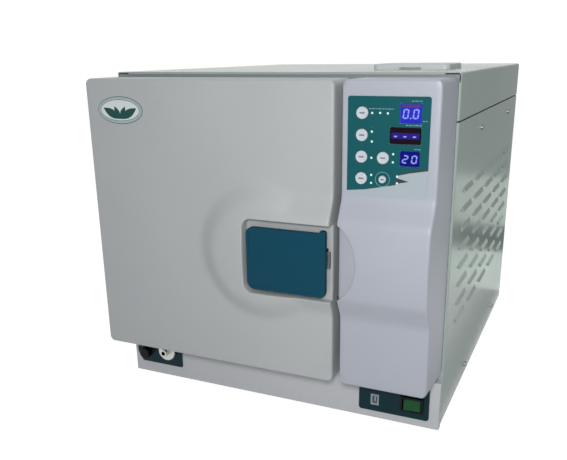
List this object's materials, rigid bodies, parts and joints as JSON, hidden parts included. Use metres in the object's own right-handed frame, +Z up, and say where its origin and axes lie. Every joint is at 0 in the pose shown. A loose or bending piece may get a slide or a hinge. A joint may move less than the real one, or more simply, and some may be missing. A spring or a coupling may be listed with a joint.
{
  "type": "bench-top steam autoclave",
  "caption": "Bench-top steam autoclave: hinged door with pull handle, control panel with keys, tray chamber, vented cabinet, water tanks and service plates at its foot.",
  "frame": {"origin": "under the middle of the closed autoclave's overall box, on the surface that its feet stand on", "axes": "+X to the right when facing the door, +Y to the back, +Z up"},
  "size_m": [0.5052, 0.676, 0.4915],
  "materials": {
    "cabinet_paint": "glossy pale grey-green enamel",
    "inner_steel": "plain galvanised-look coat",
    "foot_rubber": "matt black",
    "screw_steel": "bright plated",
    "door_plastic": "satin grey-white",
    "door_liner": "satin light grey",
    "badge_print": null,
    "cast_plate": "machined, satin",
    "seal_silicone": "translucent pale silicone",
    "frame_steel": "plain rolled steel",
    "spindle_steel": "turned",
    "handle_teal": "satin deep teal",
    "hook_steel": "bright plated",
    "lock_steel": "plain",
    "housing_plastic": "satin cool white",
    "keypad_film": "satin teal film with white and black areas",
    "display_dark": "glossy dark filter",
    "lamp_lens": "small coloured lens",
    "board_green": "lacquered circuit board",
    "key_silver": "satin silver-white",
    "plate_teal": "satin teal label plate",
    "knob_black": "satin black",
    "coupling_nickel": "bright nickel",
    "rocker_green": "glossy green",
    "port_steel": "plain",
    "chamber_steel": "polished stainless steel",
    "jacket_felt": "glass-wool blanket",
    "cradle_steel": "plain grey",
    "tray_aluminium": "anodised, satin",
    "tank_plastic": "milky moulded tank",
    "lid_plastic": "satin grey",
    "lid_steel": "plain",
    "boiler_steel": "plain stainless steel",
    "pump_iron": "dark enamel",
    "cooler_aluminium": "plain fins",
    "fan_black": "matt black",
    "valve_brass": "plain brass",
    "pipe_copper": "drawn copper tube",
    "inlet_black": "matt black"
  },
  "bodies": {
    "cabinet": {"top_cover": "cabinet_paint", "side_panel_left": "cabinet_paint", "side_panel_right": "cabinet_paint", "kick_panel": "cabinet_paint", "chassis_base": "inner_steel", "front_bulkhead": "inner_steel", "back_panel": "inner_steel", "feet": "foot_rubber", "panel_screws": "screw_steel", "hinge_brackets": "frame_steel", "door_keeper": "frame_steel", "lock_body": "lock_steel", "control_housing": "housing_plastic", "keypad_sheet": "keypad_film", "display_windows": "display_dark", "indicator_lamps": "lamp_lens", "control_board": "board_green", "drain_plate": "plate_teal", "switch_plate": "plate_teal", "switch_bezel": "knob_black", "drain_coupling": "coupling_nickel", "data_port": "port_steel", "chamber_vessel": "chamber_steel", "insulation_jacket": "jacket_felt", "chamber_cradles": "cradle_steel", "clean_tank": "tank_plastic", "used_tank": "tank_plastic", "lid_hinge": "lid_steel", "steam_generator": "boiler_steel", "vacuum_pump": "pump_iron", "condenser": "cooler_aluminium", "fan_housing": "fan_black", "valve_block": "valve_brass", "safety_valve": "valve_brass", "steam_pipes": "pipe_copper", "power_inlet": "inlet_black"},
    "door": {"door_cover": "door_plastic", "door_back_cover": "door_liner", "badge_plate": "badge_print", "pressure_plate": "cast_plate", "door_gasket": "seal_silicone", "door_frame": "frame_steel", "plate_spindle": "spindle_steel", "hinge_arms": "frame_steel", "handle_pin": "spindle_steel"},
    "handle": {"door_handle": "handle_teal", "latch_hook": "hook_steel"},
    "lock": {"lock_bolt": "lock_steel"},
    "timer_key": {"key_timer": "key_silver"},
    "heat_key": {"key_heat": "key_silver"},
    "cycle_key": {"key_cycle": "key_silver"},
    "stop_key": {"key_stop": "key_silver"},
    "set_key": {"key_set": "key_silver"},
    "start_key": {"key_start": "key_silver"},
    "rocker": {"power_rocker": "rocker_green"},
    "knob": {"drain_knob": "knob_black"},
    "lid": {"filler_lid": "lid_plastic"},
    "rack": {"tray_rack": "chamber_steel", "trays": "tray_aluminium"},
    "fan": {"fan_rotor": "fan_black"}
  },
  "joints": [
    {"name": "door_hinge", "type": "hinge", "parent": "cabinet", "child": "door", "pos_m": [-0.238, -0.272, 0.281], "axis": [0, 0, -1], "range_deg": [0, 100]},
    {"name": "handle_hinge", "type": "hinge", "parent": "door", "child": "handle", "pos_m": [0.01, -0.3245, 0.25225], "axis": [0, 0, -1], "range_deg": [0, 35], "stiffness_Nm_per_rad": 0.6, "springref_deg": -17.19},
    {"name": "lock_slide", "type": "slide", "parent": "cabinet", "child": "lock", "axis": [-1, 0, 0], "range_m": [0, 0.016], "stiffness_N_per_m": 60, "springref_m": -0.004},
    {"name": "timer_key_press", "type": "slide", "parent": "cabinet", "child": "timer_key", "axis": [0, 1, 0], "range_m": [0, 0.0008], "stiffness_N_per_m": 300, "springref_m": -0.0003},
    {"name": "heat_key_press", "type": "slide", "parent": "cabinet", "child": "heat_key", "axis": [0, 1, 0], "range_m": [0, 0.0008], "stiffness_N_per_m": 300, "springref_m": -0.0003},
    {"name": "cycle_key_press", "type": "slide", "parent": "cabinet", "child": "cycle_key", "axis": [0, 1, 0], "range_m": [0, 0.0008], "stiffness_N_per_m": 300, "springref_m": -0.0003},
    {"name": "stop_key_press", "type": "slide", "parent": "cabinet", "child": "stop_key", "axis": [0, 1, 0], "range_m": [0, 0.0008], "stiffness_N_per_m": 300, "springref_m": -0.0003},
    {"name": "set_key_press", "type": "slide", "parent": "cabinet", "child": "set_key", "axis": [0, 1, 0], "range_m": [0, 0.0008], "stiffness_N_per_m": 300, "springref_m": -0.0003},
    {"name": "start_key_press", "type": "slide", "parent": "cabinet", "child": "start_key", "axis": [0, 1, 0], "range_m": [0, 0.0008], "stiffness_N_per_m": 300, "springref_m": -0.0003},
    {"name": "rocker_tilt", "type": "hinge", "parent": "cabinet", "child": "rocker", "pos_m": [0.21245, -0.256, 0.0439], "axis": [0, 0, -1], "range_deg": [0, 12]},
    {"name": "drain_turn", "type": "hinge", "parent": "cabinet", "child": "knob", "pos_m": [-0.2255, -0.264, 0.0475], "axis": [0, -1, 0], "range_deg": [0, 270]},
    {"name": "lid_hinge_turn", "type": "hinge", "parent": "cabinet", "child": "lid", "pos_m": [0.1585, -0.043, 0.487], "axis": [-1, 0, 0], "range_deg": [0, 100]},
    {"name": "rack_slide", "type": "slide", "parent": "cabinet", "child": "rack", "axis": [0, -1, 0], "range_m": [0, 0.03]},
    {"name": "fan_spin", "type": "hinge", "parent": "cabinet", "child": "fan", "pos_m": [0.14, 0.304, 0.33], "axis": [0, 1, 0], "continuous": true}
  ]
}
